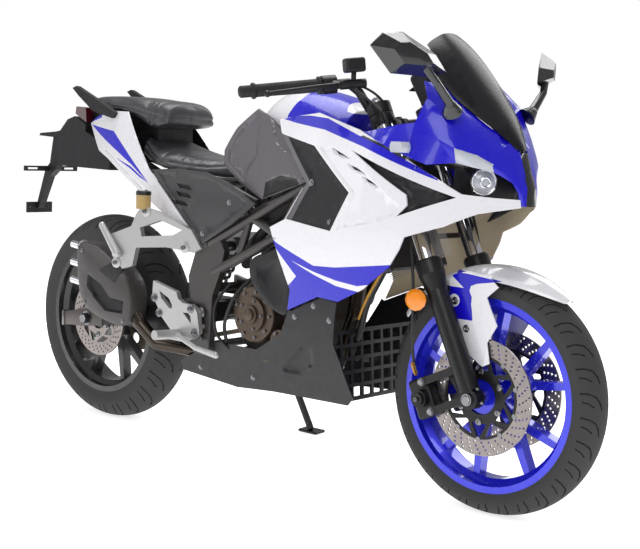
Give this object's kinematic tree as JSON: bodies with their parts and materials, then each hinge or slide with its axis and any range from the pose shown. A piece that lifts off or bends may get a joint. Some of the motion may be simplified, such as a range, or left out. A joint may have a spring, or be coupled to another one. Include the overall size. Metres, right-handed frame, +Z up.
{
  "type": "sport bike",
  "caption": "Faired sport bike on its side stand, with clip-on bars, twin front discs, open belly, pillion seat and an under-tail plate arm.",
  "frame": {"origin": "on the floor under the middle of the box, with the bike leaning on its side stand", "axes": "+X forward along the wheelbase, +Y to the rider's left, +Z up"},
  "size_m": [2.068, 0.7766, 1.1178],
  "materials": {
    "blue_rim": "metallic gloss paint",
    "black_rim": "satin paint",
    "tyre_rubber": "moulded",
    "brake_steel": "ground",
    "chain_steel": "oiled",
    "chrome": "polished",
    "axle_steel": "zinc plated",
    "black_metal": "satin powder coat",
    "black_rubber": "moulded",
    "white_paint": "gloss paint",
    "blue_paint": "gloss paint",
    "dark_frame_paint": "satin paint",
    "cast_alloy": "as cast",
    "bronze_cover": "painted casting",
    "header_steel": "heat tinted",
    "black_plastic": "grained",
    "grey_plastic": "satin",
    "radiator_alloy": "black coated fins",
    "seat_cover": "grained vinyl",
    "smoke_screen": "smoke tinted",
    "clear_lens": "clear moulded",
    "dark_red_lens": "moulded",
    "silver_alloy": "painted casting",
    "reservoir_plastic": "translucent",
    "spring_steel": "gloss"
  },
  "bodies": {
    "chassis": {"main_frame": "dark_frame_paint", "rear_subframe": "dark_frame_paint", "swingarm": "black_metal", "drive_chain": "chain_steel", "front_sprocket": "chain_steel", "engine": "cast_alloy", "engine_covers": "bronze_cover", "exhaust_header": "header_steel", "muffler": "black_plastic", "muffler_tips": "chrome", "radiator": "radiator_alloy", "side_fairing_left": "white_paint", "side_fairing_right": "white_paint", "fairing_inserts": "black_plastic", "belly_pan_left": "black_plastic", "belly_pan_right": "black_plastic", "side_covers": "black_plastic", "knee_panels": "grey_plastic", "tail_panels": "white_paint", "fuel_tank": "blue_paint", "rider_seat": "seat_cover", "pillion_seat": "seat_cover", "windscreen": "smoke_screen", "nose_cowl": "blue_paint", "headlamps": "clear_lens", "instrument_cluster": "black_plastic", "mirrors": "black_plastic", "front_lamps": "clear_lens", "grab_rails": "black_plastic", "tail_lamp": "dark_red_lens", "rear_undertray": "black_plastic", "pillion_hangers": "silver_alloy", "brake_reservoir": "reservoir_plastic", "footrest_brackets": "black_metal", "rear_caliper": "black_metal", "shock_absorber": "spring_steel", "front_guard": "black_plastic", "fairing_stays": "black_metal", "seat_pan": "black_plastic"},
    "fork": {"fork_stanchions": "chrome", "fork_lower_legs": "black_metal", "front_axle": "axle_steel", "steering_yokes": "black_metal", "clip_on_bars": "black_metal", "handlebar_grips": "black_rubber", "bar_controls": "black_metal", "front_calipers": "black_metal", "front_fender": "white_paint"},
    "front_wheel": {"front_rim": "blue_rim", "front_tyre": "tyre_rubber", "front_discs": "brake_steel"},
    "rear_wheel": {"rear_rim": "black_rim", "rear_tyre": "tyre_rubber", "rear_disc": "brake_steel", "rear_sprocket": "chain_steel"},
    "side_stand": {"side_stand": "black_metal"}
  },
  "joints": [
    {"name": "steering", "type": "hinge", "parent": "chassis", "child": "fork", "pos_m": [0.71927, -0.03871, 0.26959], "axis": [-0.4226, 0.0506, 0.9049], "range_deg": [-28, 28]},
    {"name": "front_wheel_spin", "type": "hinge", "parent": "fork", "child": "front_wheel", "pos_m": [0.74997, -0.03791, 0.28386], "axis": [0, 0.9984, -0.0558], "continuous": true},
    {"name": "rear_wheel_spin", "type": "hinge", "parent": "chassis", "child": "rear_wheel", "pos_m": [-0.63003, -0.03657, 0.30783], "axis": [0, 0.9984, -0.0558], "continuous": true},
    {"name": "side_stand_fold", "type": "hinge", "parent": "chassis", "child": "side_stand", "pos_m": [-0.10603, 0.12062, 0.28902], "axis": [0, 0.9878, 0.156], "range_deg": [0, 88]}
  ]
}
